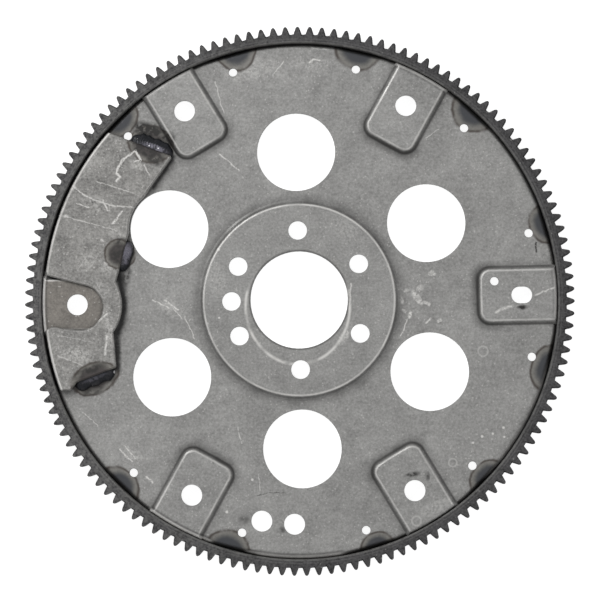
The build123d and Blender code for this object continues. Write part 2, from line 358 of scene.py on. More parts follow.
class Finish:
    """One material in the making: its colour so far, and the places, masks and layers that steels share."""

    def __init__(self, name, colour, patch, grain):
        self.material = bpy.data.materials.new(name)
        self.material.use_nodes = True
        self.net = net = Net(self.material.node_tree)
        self.scratch_tree = shared_group("scratch", scratch_group)
        self.smudge_tree = shared_group("smudge", smudge_group)
        self.place = net.place()
        self.across, upward = net.parts(self.place)[:2]
        self.flat = net.joined(self.across, upward)
        self.up = net.parts(net.normal())[2]
        self.in_front = net.ease(self.up, -0.3, 0.3)
        self.radius = net.vector("LENGTH", self.flat)
        self.angle = net.math("ARCTAN2", upward, self.across)
        self.scratch_grain = net.noise(self.place, SCRATCH_GRAIN, 3.0)
        self.smudge_grain = net.noise(self.place, SMUDGE_GRAIN, 4.0)
        drift = net.noise(self.place, WANDER_PITCH, 2.0)
        drift_across = net.times(net.take(drift, 0.5), WANDER)
        drift_upward = net.times(net.take(self.smudge_grain, 0.5), WANDER)
        self.wandering = net.vector("ADD", self.flat, net.joined(drift_across, drift_upward))
        self.colour = self.mottled(colour, patch, grain)

    def scratches(self, marks, least=0.1):
        """Several slightly wandering scratches through their points, as a mask, broken down to least."""
        nearest = FAR
        for points, width, strength in marks:
            for start, end in zip(points, points[1:]):
                run = Vector(mm(*end)) - Vector(mm(*start))
                share = run / run.length_squared
                nearest = self.net.group(
                    self.scratch_tree,
                    Place=self.wandering,
                    Start=(*mm(*start), 0),
                    Run=(*run, 0),
                    Share=(*share, 0),
                    Sharpness=1 / mm(width),
                    Faintness=FADING * (1 - strength),
                    Nearest=nearest,
                )
        broken = self.net.ease(self.scratch_grain, 0.34, 0.5, least, 1.0)
        return self.net.times(self.net.ease(nearest, 1.0, 0.1), broken, self.in_front)

    def smudges(self, marks):
        """Several soft ragged patches, as a mask."""
        strongest = 0.0
        for middle, length, width, degrees, strength in marks:
            turn = math.radians(degrees)
            along = Vector((math.cos(turn), math.sin(turn)))
            strongest = self.net.group(
                self.smudge_tree,
                Place=self.wandering,
                Middle=(*mm(*middle), 0),
                Along=(*(along / mm(length / 2)), 0),
                Aside=(*(along.orthogonal() / mm(width / 2)), 0),
                Strength=strength,
                Strongest=strongest,
            )
        ragged = self.net.ease(self.smudge_grain, 0.36, 0.58, 0.3, 1.5)
        return self.net.times(self.net.clamped(self.net.times(strongest, ragged)), self.in_front)

    def spots(self, marks):
        """Round spots, as a mask."""
        total = 0.0
        for place, size in marks:
            away = self.net.vector("DISTANCE", self.flat, (*mm(*place), 0))
            total = self.net.larger(total, self.net.ease(away, mm(size) * 0.6, mm(size) * 0.3))
        return self.net.times(total, self.in_front)

    def rings(self, marks, width):
        """Small stamped rings, as a mask."""
        total = 0.0
        for place, radius in marks:
            away = self.net.vector("DISTANCE", self.flat, (*mm(*place), 0))
            total = self.net.larger(total, self.near(away, mm(radius), width))
        return self.net.times(total, self.in_front)

    def near(self, value, middle, reach):
        """1 where a value is at its middle, falling to 0 at its reach on both sides."""
        return self.net.ease(self.net.math("ABSOLUTE", self.net.take(value, middle)), reach, 0.0)

    def patchy(self, size, low, high, least=0.0, most=1.0, detail=3.0, roughness=0.55):
        """Uneven patches of about this size, from least where noise is low to most where it is high."""
        return self.net.ease(self.net.noise(self.place, size, detail, roughness), low, high, least, most)

    def edges(self, reach):
        """Edges within this reach, as a mask, by how far a rounded normal turns from the surface's own."""
        net = self.net
        rounded = net.node("ShaderNodeBevel", {"Radius": reach}, samples=4).outputs[0]
        return net.ease(net.vector("DOT_PRODUCT", rounded, net.normal()), 0.992, 0.9)

    def paint(self, mask, colour, strength=1.0):
        """Lay a colour over the finish through a mask."""
        if strength != 1.0:
            mask = self.net.times(mask, strength)
        self.colour = self.net.mix(mask, self.colour, colour)

    def tint(self, reach, colours, core_colour, heat):
        """Lay a heat tint over the finish: reach is 1 at the tint's edge and 0 at its hot middle."""
        net = self.net
        self.paint(net.ease(reach, *TINT_BAND), colours.tint_band, strength=0.62)
        self.paint(net.ease(reach, *TINT_CORE), core_colour, strength=heat)
        uneven = self.patchy(mm(8), 0.3, 0.55, least=0.4, detail=2.0)
        line = net.times(self.near(reach, *TINT_LINE), uneven)
        self.paint(line, colours.tint_line, strength=0.9)

    def shade_corners(self, colour, distance, low, high, strength):
        """Lay a colour as painted shade in corners: none where a corner is less deep than low, full past
        high.
        """
        light = self.net.node("ShaderNodeAmbientOcclusion", {"Distance": distance}, samples=6).outputs["AO"]
        self.paint(self.net.ease(self.net.take(1.0, light), low, high), colour, strength)

    def mottled(self, colour, patch, grain):
        """A steel's colour, lighter and darker in patches, clouds, fine grain and rolled streaks."""
        net = self.net
        rolled = net.node("ShaderNodeMapping", {"Vector": self.place, "Scale": (0.07, 1, 1)}).outputs[0]
        layers = (
            (net.noise(self.place, mm(38), 5.0, 0.6, 0.4), patch * 2),
            (net.noise(self.place, mm(9), 4.0, 0.6), patch * 1.8),
            (net.noise(self.place, mm(1.5), 3.0, 0.7), grain * 2),
            (net.noise(rolled, mm(2.2), 3.0, 0.7), patch * 0.8),
        )
        level = 1.0
        for layer, contrast in layers:
            level = net.add(level, net.times(net.take(layer, 0.5), contrast))
        return net.mix(1.0, colour, net.grey(level), "MULTIPLY")

    def scuff(self, marks, colour, strength, least):
        """Lay ragged scuffs of fine fibres, which fade down to least between them."""
        fibres = self.patchy(mm(1.6), 0.4, 0.6, least, roughness=0.8)
        self.paint(self.net.times(self.smudges(marks), fibres), colour, strength)

    def speck(self, colour, size, rarity, strength):
        """Lay small scattered specks."""
        net = self.net
        near = net.ease(net.cells(self.place, size), 0.25, 0.08)
        where = net.ease(net.noise(self.place, size * 2.3, 2.0), rarity, rarity + 0.08)
        self.paint(net.times(near, where), colour, strength)

    def shade(self, roughness, metallic, bump, softness, specular=0.35):
        """The finished material, with its colour, roughness and bump on softened edges."""
        net = self.net
        edges = net.node("ShaderNodeBevel", {"Radius": softness}, samples=4).outputs[0]
        coarse = net.times(net.noise(self.place, mm(4), 4.0), 0.6)
        fine = net.times(net.noise(self.place, mm(0.7), 3.0), 0.4)
        inputs = {"Height": net.add(coarse, fine), "Distance": bump, "Strength": 0.6, "Normal": edges}
        inputs = {
            "Base Color": self.colour,
            "Metallic": metallic,
            "Roughness": roughness,
            "Specular IOR Level": specular,
            "Normal": net.node("ShaderNodeBump", inputs).outputs[0],
        }
        net.output("ShaderNodeOutputMaterial", net.node("ShaderNodeBsdfPrincipled", inputs))
        return self.material


def placed(scene, name, data):
    """A new piece with this data, linked to the scene."""
    piece = bpy.data.objects.new(name, data)
    scene.collection.objects.link(piece)
    return piece


def give(piece, material):
    """The piece's material slots all take this material."""
    if not piece.data.materials:
        piece.data.materials.append(material)
    for index in range(len(piece.data.materials)):
        piece.data.materials[index] = material


# The marks that the photograph shows, in millimetres from the axis


# Each scratch is its corner points, width and strength
DISC_SCRATCHES = (
    (((-119, -95), (-111, -103)), 0.8, 0.9),
    (((-116, -92.5), (-109, -101)), 0.7, 0.8),
    (((-102, -113), (-98, -117)), 0.9, 1.0),
    (((-96, 2), (-85, -3)), 0.7, 0.8),
    (((-88, 2), (-79, -5)), 0.8, 0.9),
    (((-83, -3), (-77, -10)), 0.6, 0.7),
    (((-75, -9), (-69, -24)), 0.7, 0.7),
    (((-50, 97), (-38, 86)), 0.8, 0.8),
    (((-7, 157), (-14, 148)), 0.7, 0.7),
    (((10, 156), (13, 158), (17, 157)), 0.9, 0.8),
    (((72.4, -9.6), (71.2, -12.4)), 1.4, 1.15),
    (((70, -14), (66, -25)), 0.9, 0.7),
    (((82, -17), (85, -14)), 1.2, 0.8),
    (((154, -0.6), (166, 4.5)), 1.3, 0.7),
    (((128, -11), (133, -8.5), (139, -7)), 1.9, 0.7),
    (((-42, -82), (-39.5, -93)), 0.6, 0.7),
    (((-29, -113), (-28, -124)), 0.7, 0.6),
    (((34, 10), (32.6, -9)), 1.3, 0.6),
    (((85, 104), (94, 110)), 0.7, 0.6),
    (((-52, 145), (-47, 124)), 0.7, 0.6),
    (((-143, -70), (-133, -79)), 0.7, 0.6),
)

DISC_DARK_SCRATCHES = (
    (((-30, -127), (-22, -124.8), (-13, -125.4)), 0.9, 0.55),
    (((155, 34), (155.3, 28)), 1.1, 0.9),
)

# Painted shadow along the counterweight's inner edge and round its inner bead
WEIGHT_BULGE_FOOT = (
    (-118, 24),
    (-116.6, 14),
    (-114.8, 4),
    (-114.8, -4),
    (-116.8, -12),
    (-119.4, -18),
    (-119.8, -42),
)
WEIGHT_SHADOW_LINES = (
    (WEIGHT_BULGE_FOOT, 3.4, 1.0),
    (((-80, 96), (-94, 76)), 2.4, 0.9),
    (((-108.4, 40), (-108.2, 33), (-111, 25), (-115.7, 21.8), (-118.4, 25)), 1.8, 0.9),
)

# Each patch is its middle, length, width, degrees and strength
DISC_SCUFFS = (
    ((79, 6), 7, 5, 20, 1.5),
    ((70, 4.5), 4, 3, 0, 1.5),
    ((77, 0), 13, 5, -55, 1.5),
    ((83, -4), 6, 3, -30, 1.2),
    ((87, 15.5), 5.5, 4, 0, 1.8),
    ((67, -2), 3, 6, 10, 0.9),
    ((68, -8.6), 4, 3, -40, 1.3),
    ((91, -15.4), 4, 3, 30, 1.4),
    ((-84, -3), 24, 12, -35, 0.3),
    ((-28, 152), 60, 16, 4, 0.28),
    ((10, 155), 34, 12, 0, 0.28),
    ((-110, -98), 20, 8, -45, 0.35),
    ((-47, -118), 6, 30, -15, 0.3),
    ((-54, 15), 16, 26, 10, 0.22),
    ((32, 45), 30, 16, -35, 0.2),
    ((29, -24), 6, 20, -35, 0.6),
    ((86, -135), 34, 10, 30, 0.25),
)

DISC_SMUDGES = (
    ((145, -8), 9, 4, 0, 0.8),
    ((-39, -142), 10, 7, 10, 0.42),
    ((-14, -149), 6, 5, 0, 0.5),
    ((-97, 114), 26, 12, -18, 1.0),
    ((-86, 106), 12, 17, -60, 1.2),
    ((-136, -57), 22, 6, 16, 0.6),
    ((71, -115), 12, 4, 10, 0.8),
    ((81, -116), 4, 7, 0, 0.6),
    ((-113, 18), 7, 18, -10, 0.7),
)

WEIGHT_SCRATCHES = (
    (((-104.6, 100), (-107.6, 97.6), (-112.6, 95)), 1.1, 1.0),
    (((-112.6, 95), (-116.6, 89), (-117.6, 85.6)), 1.3, 1.0),
    (((-117.6, 85.6), (-115.4, 83), (-117.4, 80.2)), 1.2, 1.0),
    (((-104.6, 100), (-101.8, 93.6)), 1.2, 1.0),
    (((-101.8, 93.6), (-105.6, 92.6)), 0.9, 0.8),
    (((-99.6, 90), (-96.4, 83.6)), 0.8, 0.7),
    (((-149, 80), (-140, 72), (-133, 68.4)), 1.2, 0.7),
    (((-133, 68.4), (-120, 64), (-107, 62.6)), 1.2, 0.6),
    (((-131, 80.4), (-106, 72)), 1.0, 0.5),
    (((-127, 68), (-123.4, 61)), 1.0, 0.9),
    (((-156, 59), (-132, 52), (-118, 47.6)), 1.0, 0.5),
    (((-114.6, 60), (-120.4, 52.4)), 1.1, 1.0),
    (((-144, 66), (-136, 63.6)), 0.9, 0.7),
    (((-144, 22), (-137, 33)), 0.9, 0.25),
    (((-136, 24), (-129, 34)), 0.9, 0.25),
    (((-137.6, -15.6), (-125, -6.6)), 1.0, 0.9),
    (((-125.6, -21), (-127, -33)), 1.6, 0.8),
    (((-157, -20), (-136, -24.6)), 1.0, 0.35),
    (((-158, -33), (-142, -39.6)), 1.4, 0.45),
)

WEIGHT_SCUFFS = (
    ((-128, 42), 3, 2.4, 0, 1.0),
    ((-151, 58), 3.6, 2.8, 0, 1.0),
    ((-117, 106), 5, 3, 20, 0.8),
    ((-104, 90), 14, 7, -25, 0.5),
    ((-147, 77), 7, 6, 0, 0.6),
    ((-130, 66), 26, 11, -15, 0.4),
    ((-118, 46), 16, 9, -30, 0.4),
    ((-138, 28), 20, 14, 55, 0.35),
    ((-128, 10), 22, 12, -30, 0.3),
    ((-146, -32), 30, 13, -15, 0.5),
    ((-124, -18), 9, 40, 5, 0.5),
    ((-124, 26), 16, 12, 20, 0.5),
    ((-140, 90), 34, 14, 50, 0.3),
)

WEIGHT_SMUDGES = (
    ((-97, 101), 28, 13, -22, 1.1),
    ((-92, 95), 16, 12, -40, 1.0),
    ((-116, 41), 10, 6, 20, 0.8),
    ((-115, 33), 8, 20, -6, 0.6),
    ((-117.4, 32), 18, 13, 75, 0.8),
    ((-137, -43), 28, 8, 22, 0.8),
)

# Each small stamped ring is its middle and radius
DISC_RINGS = (((73, -145.2), 3.0), ((119, -36), 3.2), ((97.5, -108), 2.6))

# Each spot is its place and its size across
DISC_SPOTS = (
    ((131, -86), 1.8),
    ((117, -91.4), 1.9),
    ((124, -89.8), 1.6),
    ((111, -95.4), 1.6),
    ((131.4, -92), 1.5),
    ((-50, -137), 2.0),
    ((-33, -116.4), 1.8),
    ((-52, 34), 2.0),
    ((-52.4, -10.6), 1.4),
    ((-128, 130), 1.4),
)

# Each heat tint by a ring weld is its angle, half its run along the rim and its depth
RING_TINTS = (
    (16.0, 13.4, 11.8),
    (46.2, 15.8, 14.6),
    (75.6, 16.0, 13.8),
    (103.0, 13.6, 13.4),
    (133.6, 14.4, 12.6),
    (224.8, 15.0, 11.8),
    (252.8, 15.0, 13.2),
    (286.4, 12.0, 10.4),
    (315.4, 14.0, 10.8),
    (343.4, 16.2, 12.4),
)

# Each heat tint round one of the counterweight's beads is its middle, length, width and degrees
BEAD_TINTS = (
    ((-95, 104), 31, 26, -21.8),
    ((-116.6, 32.6), 20, 21, 75),
    ((-134.5, -48.4), 33, 21.5, 19.6),
)

# Bright stretches of the rim's crest: each one's middle and half span in degrees, and its strength
RIM_GLINTS = (
    (0, 6.2, 0.45),
    (60, 7.4, 0.6),
    (179, 7.5, 1.0),
    (241, 8.5, 1.0),
    (268, 12, 0.9),
    (330, 16, 0.3),
)

# Where a bead shines: the patch's middle, length, width, degrees and strength
BEAD_SHEENS = (
    ((-92, 101.6), 21, 5, -21.8, 1.0),
    ((-112, 33), 18, 8, 80, 1.2),
    ((-134, -48.2), 20, 3, 19.6, 0.3),
)

# Each glint on a bead is its place and its size across
BEAD_GLINTS = (((-120.9, -44.4), 2.4), ((-90, 101.2), 1.0), ((-96, 103), 0.9), ((-115.2, 39), 1.0))

# A worn arc round the pilot bore: its oval's middle and two radii
PILOT_RUB_MIDDLE = (-1, -4)
PILOT_RUB_RADII = (34, 38)


# The finishes


def ring_tint_reach(finish, sizes):
    """How far a point lies from the nearest ring weld's hot middle, 1 at the tint's edge."""
    net = finish.net
    inward = net.take(sizes.rim_radius, finish.radius)
    nearest = FAR
    for degrees, half_run, depth in RING_TINTS:
        turn = net.math("WRAP", net.take(finish.angle, math.radians(degrees)), math.pi, -math.pi)
        along = net.times(turn, sizes.rim_radius / mm(half_run))
        reach = net.vector("LENGTH", net.joined(along, net.times(inward, 1 / mm(depth))))
        nearest = net.math("MINIMUM", nearest, reach)
    uneven = net.take(net.noise(finish.place, mm(9), 2.0), 0.5)
    return net.add(nearest, net.times(uneven, 0.22))


def bead_tint_reach(finish):
    """How far a point lies from the nearest counterweight bead's hot middle, 1 at the tint's edge."""
    net = finish.net
    nearest = FAR
    for middle, length, width, degrees in BEAD_TINTS:
        seen = net.in_oval(finish.flat, mm(*middle), mm(length / 2, width / 2), degrees)
        nearest = net.math("MINIMUM", nearest, net.vector("LENGTH", seen))
    uneven = net.take(net.noise(finish.place, mm(7), 3.0), 0.5)
    return net.add(nearest, net.times(uneven, 0.3))


def pad_distance(finish, sizes):
    """Distance out from the nearest pad's upper edge, below zero on the pad."""
    net = finish.net
    pitch = math.tau / sizes.pad_count
    turn = net.math("WRAP", finish.angle, pitch / 2, -pitch / 2)
    outward = net.times(finish.radius, net.math("COSINE", turn))
    aside = net.math("ABSOLUTE", net.times(finish.radius, net.math("SINE", turn)))
    past_end = net.take(sizes.pad_start + sizes.pad_corner, outward)
    past_side = net.take(aside, sizes.pad_width / 2 - sizes.pad_corner)
    outside = net.joined(net.larger(past_end, 0.0), net.larger(past_side, 0.0))
    inside = net.math("MINIMUM", net.larger(past_end, past_side), 0.0)
    return net.take(net.add(net.vector("LENGTH", outside), inside), sizes.pad_corner)


def notch_stain(finish, colours, from_pad):
    """The brown stain on the pad that lies in the counterweight's notch."""
    net = finish.net
    opposite = net.ease(net.math("ABSOLUTE", finish.angle), math.radians(168), math.radians(170))
    on_pad = net.ease(from_pad, mm(0.5), mm(-0.5))
    stained = net.times(on_pad, opposite, finish.in_front)
    finish.paint(stained, finish.mottled(colours.stain, patch=0.5, grain=0.7), strength=0.85)


def pressed_edges(finish, sizes, colours, from_pad):
    """Light lines on the upper edges of the hub and the pads, painted highlight and wear both, and painted
    shade in the hollows below them.
    """
    net = finish.net
    off_rim = net.ease(finish.radius, sizes.rim_radius - mm(1), sizes.rim_radius - mm(4))
    at_end = net.ease(finish.radius, mm(140), mm(116), 0.35, 1.0)
    uneven = finish.patchy(mm(22), 0.3, 0.7, least=0.55, detail=2.0)
    pad_foot = net.ease(from_pad, mm(0.3), mm(1.2))
    pad_hollow_shade = net.times(net.ease(from_pad, mm(9), mm(1.5)), pad_foot, at_end, off_rim)
    hub_hollow_shade = net.times(
        net.ease(finish.radius, sizes.hub_radius + mm(10), sizes.hub_radius + mm(1.5)),
        net.ease(finish.radius, sizes.hub_radius, sizes.hub_radius + mm(1)),
    )
    hollow_shade = net.times(net.larger(pad_hollow_shade, net.times(hub_hollow_shade, 0.7)), uneven)
    # Painted shade in the soft hollows round the pads' and the hub's feet
    finish.paint(hollow_shade, colours.grime_and_shade, strength=0.8)
    darker_end = net.ease(at_end, 0.3, 1.0, 0.7, 1.0)
    foot = net.times(finish.near(from_pad, mm(2.2), mm(1.5)), off_rim, darker_end)
    # Painted shade along the pads' feet, darker towards their inner ends
    finish.paint(foot, colours.grime_and_shade, strength=0.75)
    worn_and_lit = finish.patchy(mm(11), 0.3, 0.62, least=0.5)
    pad_line = net.times(finish.near(from_pad, mm(-0.3), mm(0.95)), off_rim)
    hub_line = finish.near(finish.radius, sizes.hub_radius - mm(0.3), mm(1.0))
    line = net.larger(net.times(pad_line, 0.62), net.times(hub_line, 0.85))
    # Painted highlight on the pads' and hub's upper edges, which also stands for wear
    finish.paint(net.times(line, worn_and_lit), colours.bright)


def pilot_marks(finish, sizes, colours):
    """A painted shadow line round the pilot bore, and the worn arc that a shaft's boss left outside it."""
    net = finish.net
    # Painted shadow line round the pilot bore
    bore = net.ease(finish.radius, sizes.bore_radius + mm(1.6), sizes.bore_radius + mm(0.5))
    finish.paint(bore, colours.grime_and_shade, strength=0.55)
    seen = net.in_oval(finish.flat, mm(*PILOT_RUB_MIDDLE), mm(*PILOT_RUB_RADII))
    arc = finish.near(net.vector("LENGTH", seen), 1.0, 0.045)
    below = net.ease(net.parts(seen)[1], 0.45, 0.2)
    broken = finish.patchy(mm(13), 0.36, 0.56, least=0.25)
    arc = net.times(arc, below, finish.in_front, broken)
    finish.paint(arc, colours.bright, strength=0.9)


def rim_crest(finish, sizes, colours):
    """The rim's crest, with a painted highlight on some stretches that also stands for wear, and a painted
    shadow line inside it.
    """
    net = finish.net
    shining = 0.0
    for degrees, half_span, strength in RIM_GLINTS:
        turn = net.math("WRAP", net.take(finish.angle, math.radians(degrees)), math.pi, -math.pi)
        span = math.radians(half_span)
        mask = net.times(net.ease(net.math("ABSOLUTE", turn), span, span * 0.8), strength)
        shining = net.larger(shining, mask)
    uneven = finish.patchy(mm(9), 0.3, 0.55, least=0.7)
    crest = net.times(finish.near(finish.radius, sizes.rim_radius - mm(1.4), mm(1.6)), shining)
    inside = net.times(finish.near(finish.radius, sizes.rim_radius - mm(3.1), mm(1.4)), shining)
    # Painted shadow line just inside the crest
    finish.paint(inside, colours.grime_and_shade, strength=0.55)
    # Painted highlight on the crest, which also stands for wear
    finish.paint(net.times(crest, uneven), colours.bright)


def disc_finish(sizes, colours):
    """Mottled bare steel with heat tints, scuffs, scratches, a rim crest with a painted highlight that also
    stands for wear, and painted shade in corners.
    """
    finish = Finish("disc_steel_worn", colours.plate, patch=0.3, grain=0.62)
    net = finish.net
    from_pad = pad_distance(finish, sizes)
    notch_stain(finish, colours, from_pad)
    finish.scuff(DISC_SCUFFS, colours.bright, strength=0.85, least=0.3)
    finish.speck(colours.bright, mm(2.8), rarity=0.46, strength=0.4)
    finish.speck(colours.grime_and_shade, mm(4), rarity=0.56, strength=0.25)
    finish.tint(bead_tint_reach(finish), colours, colours.weld_tint, heat=0.8)
    finish.tint(ring_tint_reach(finish, sizes), colours, colours.tint_core, heat=0.92)
    finish.paint(finish.smudges(DISC_SMUDGES), colours.grime_and_shade)
    # Painted shade in corners, such as the counterweight's shadow on the disc
    finish.shade_corners(colours.grime_and_shade, mm(9), low=0.16, high=0.7, strength=0.85)
    pressed_edges(finish, sizes, colours, from_pad)
    pilot_marks(finish, sizes, colours)
    rim_crest(finish, sizes, colours)
    finish.paint(finish.scratches(DISC_DARK_SCRATCHES), colours.grime_and_shade)
    # Painted shadow along the counterweight's inner edge and round its inner bead
    finish.paint(finish.scratches(WEIGHT_SHADOW_LINES, least=0.8), colours.gap, strength=0.9)
    scratches = finish.scratches(DISC_SCRATCHES)
    spots = net.times(finish.spots(DISC_SPOTS), 0.9)
    rings = net.times(finish.rings(DISC_RINGS, mm(0.9)), 0.35)
    finish.paint(net.larger(scratches, spots, rings), colours.bright)
    roughness = finish.patchy(mm(12), 0.3, 0.7, least=0.42, most=0.58, detail=4.0)
    return finish.shade(roughness, metallic=0.3, bump=mm(0.14), softness=sizes.edge_softness)


def weight_finish(sizes, colours):
    """Bare steel scratched all over, with painted highlights on its rim and edges, partly standing for wear,
    painted shade in corners and tints by its beads.
    """
    finish = Finish("weight_steel_worn", colours.weight, patch=0.5, grain=1.0)
    net = finish.net
    finish.scuff(WEIGHT_SCUFFS, colours.bright, strength=0.75, least=0.2)
    finish.speck(colours.bright, mm(2.8), rarity=0.44, strength=0.45)
    finish.speck(colours.grime_and_shade, mm(4), rarity=0.54, strength=0.3)
    bead_reach = bead_tint_reach(finish)
    finish.tint(bead_reach, colours, colours.weld_tint, heat=0.9)
    finish.paint(finish.smudges(WEIGHT_SMUDGES), colours.grime_and_shade, strength=0.85)
    # Painted highlight along the counterweight's outer top edge
    rim_highlight = finish.near(finish.radius, sizes.rim_radius - mm(3.3), mm(1.2))
    rim_highlight = net.times(rim_highlight, finish.patchy(mm(14), 0.35, 0.55, least=0.4))
    finish.paint(rim_highlight, colours.bright)
    # Painted highlight on the counterweight's edges, which also stands for wear
    worn_and_lit = net.times(finish.patchy(mm(10), 0.3, 0.6, least=0.3), net.ease(bead_reach, 0.8, 1.1))
    finish.paint(net.times(finish.edges(mm(1.2)), worn_and_lit), colours.bright, strength=0.5)
    # Painted shade in the counterweight's corners
    finish.shade_corners(colours.grime_and_shade, mm(5), low=0.15, high=0.8, strength=0.8)
    finish.paint(finish.scratches(WEIGHT_SCRATCHES), colours.bright)
    roughness = finish.patchy(mm(12), 0.3, 0.7, least=0.4, most=0.56, detail=4.0)
    return finish.shade(roughness, metallic=0.3, bump=mm(0.16), softness=sizes.edge_softness)


def ring_finish(sizes, colours):
    """Dull dark hardened steel, paler towards its left, with painted shade on the teeth's bevels and a
    painted highlight at its bore's edge.
    """
    finish = Finish("ring_steel_dark", colours.ring, patch=0.7, grain=2.0)
    net = finish.net
    rim = sizes.rim_radius
    # Paler towards the left
    on_left = net.ease(finish.across, mm(60), mm(-190), 0.12, 0.6)
    grainy = finish.patchy(mm(2.4), 0.36, 0.66, detail=4.0, roughness=0.75)
    finish.paint(net.times(on_left, grainy), colours.pale_tone)
    on_teeth = net.ease(finish.radius, rim + mm(3), rim + mm(5))
    # Painted shade on the teeth's sloping faces
    tilted_shade = net.times(net.ease(finish.up, 0.25, 0.45), net.ease(finish.up, 0.98, 0.93), on_teeth)
    finish.paint(tilted_shade, colours.bevel, strength=0.8)
    # Painted highlight along the bore's edge, with a fainter second line outside it
    bore_edge = net.ease(finish.radius, rim + mm(1.5), rim + mm(0.4))
    second_line = net.times(finish.near(finish.radius, rim + mm(2.4), mm(0.7)), 0.4)
    pale = net.times(net.larger(bore_edge, second_line), finish.patchy(mm(6), 0.3, 0.6, least=0.4))
    finish.paint(pale, colours.pale_tone, strength=0.55)
    finish.speck(colours.bright, mm(3), rarity=0.56, strength=0.25)
    # Painted shade in the ring gear's corners
    finish.shade_corners(colours.ring_corner_shade, mm(3), low=0.2, high=0.9, strength=0.6)
    roughness = finish.patchy(mm(5), 0.3, 0.7, least=0.45, most=0.62, detail=4.0)
    return finish.shade(roughness, metallic=0.3, bump=mm(0.12), softness=mm(0.3), specular=0.25)


def scale_finish(colours):
    """Dark scale on weld metal, with a painted bluish sheen, paler patches, painted glints and painted shade
    in its corners.
    """
    finish = Finish("weld_scale", colours.scale, patch=0.5, grain=0.6)
    finish.paint(finish.smudges(BEAD_SHEENS), colours.bead_sheen)
    finish.paint(finish.patchy(mm(5), 0.5, 0.68), colours.bead_patch, strength=0.4)
    finish.speck(colours.bright, mm(2.5), rarity=0.55, strength=0.35)
    # Painted glints
    finish.paint(finish.spots(BEAD_GLINTS), colours.bead_glint)
    # Painted shade in the beads' corners
    finish.shade_corners(colours.bead_corner_shade, mm(3), low=0.1, high=0.6, strength=0.9)
    roughness = finish.patchy(mm(2), 0.3, 0.7, least=0.3, most=0.55, detail=4.0)
    return finish.shade(roughness, metallic=0.2, bump=mm(0.15), softness=mm(0.15), specular=0.2)


# The weld beads


# Start and end of each bead's middle run along the plate's edge, and its width, in millimetres
BEAD_RUNS = {
    "counterweight_weld_upper": ((-101.65, 103.9), (-88.7, 98.7), 7.9),
    "counterweight_weld_inner": ((-113.1, 36.6), (-115.9, 26.5), 5.2),
    "counterweight_weld_lower": ((-127.35, -44.2), (-142.7, -49.7), 6.2),
}

# How many steps a bead's mesh takes along it and across it
BEAD_STATIONS = 130
BEAD_STEPS = 24

# A bead's form, as shares of its width or height where nothing else is said
BEAD_END_FULLNESS = 0.03
BEAD_CROWN_POWER = 2.4  # the power that flattens its crown
BEAD_TOE_WANDER = 0.16
BEAD_TOE_WANDERS = 300  # features per metre
BEAD_FACE_WANDERS = 240  # features per metre
BEAD_UNDERSIDE = (0.66, 0.33, 0.0)
NOISE_SLICE = 0.3  # off the noise's whole numbers, where it is zero
RIPPLE_BOW = 0.3
RIPPLE_BOW_MIDDLE = 0.4
RIPPLE_HALF_WAVES = 1.1  # how many the ripples' strength would take over the whole width
RIPPLES_END = 0.9


def bead_section(so_far, length, width, beads, seed):
    """The closed section of a bead this far along it, as distances out from the plate's edge and heights."""
    from_end = min(so_far, length - so_far, width)
    fullness = max(BEAD_END_FULLNESS, math.sqrt(max(0.0, 1 - (1 - from_end / width) ** 2)))
    toe_wander = noise.noise(Vector((so_far * BEAD_TOE_WANDERS, seed, NOISE_SLICE)))
    reach = width * fullness * (1 + BEAD_TOE_WANDER * toe_wander)
    section = []
    for step in range(BEAD_STEPS + 1):
        share = step / BEAD_STEPS
        out = -beads.seat + (reach + beads.seat) * share
        rise = beads.height * fullness * math.sqrt(max(0.0, 1 - share**BEAD_CROWN_POWER))
        bow = RIPPLE_BOW * width * math.cos(math.pi * (share - RIPPLE_BOW_MIDDLE))
        ripple = (0.5 + 0.5 * math.cos(math.tau * (so_far + bow) / beads.ripple_pitch)) ** 2
        wander = noise.noise(Vector((so_far * BEAD_FACE_WANDERS, out * BEAD_FACE_WANDERS, seed)))
        loose = math.sin(math.pi * (share * RIPPLE_HALF_WAVES)) * fullness if share < RIPPLES_END else 0.0
        height = rise + (beads.roughness * wander - beads.ripple_height * ripple) * loose
        section.append((out, max(height, 0.0)))
    for share in BEAD_UNDERSIDE:
        section.append((-beads.seat + (reach + beads.seat) * share, 0.0))
    return section


def bead_mesh(name, start, end, width, sizes, beads, seed):
    """A rippled bead on the web, to the left of its run from start to end, as a closed mesh."""
    along = (Vector(end) - Vector(start)).normalized()
    aside = Vector((-along.y, along.x))
    length = (Vector(end) - Vector(start)).length + 2 * width
    first = Vector(start) - along * width
    work = bmesh.new()
    loops = []
    for station in range(BEAD_STATIONS + 1):
        so_far = length * station / BEAD_STATIONS
        loop = []
        for out, height in bead_section(so_far, length, width, beads, seed):
            point = first + along * so_far + aside * out
            loop.append(work.verts.new((point.x, point.y, sizes.web_level + height)))
        loops.append(loop)
    for before, after in zip(loops, loops[1:]):
        for this, vertex in enumerate(before):
            following = (this + 1) % len(before)
            work.faces.new((vertex, before[following], after[following], after[this]))
    work.faces.new(loops[0])
    work.faces.new(reversed(loops[-1]))
    bmesh.ops.recalc_face_normals(work, faces=work.faces)
    mesh = bpy.data.meshes.new(name)
    work.to_mesh(mesh)
    work.free()
    for face in mesh.polygons:
        face.use_smooth = True
    return placed(bpy.context.scene, name, mesh)


# The operators, one for each piece or group of like pieces


def sizes_and_colours(context):
    """The scene's sizes and colours."""
    return context.scene.flexplate_sizes, context.scene.flexplate_colours


class FLEXPLATE_OT_disc(bpy.types.Operator):
    """Give the pressed disc its worn steel, with heat tints at the ring welds."""

    bl_idname = "flexplate.disc"
    bl_label = "Finish the disc"

    def execute(self, context):
        give(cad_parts["flexplate_disc"], disc_finish(*sizes_and_colours(context)))
        return {"FINISHED"}


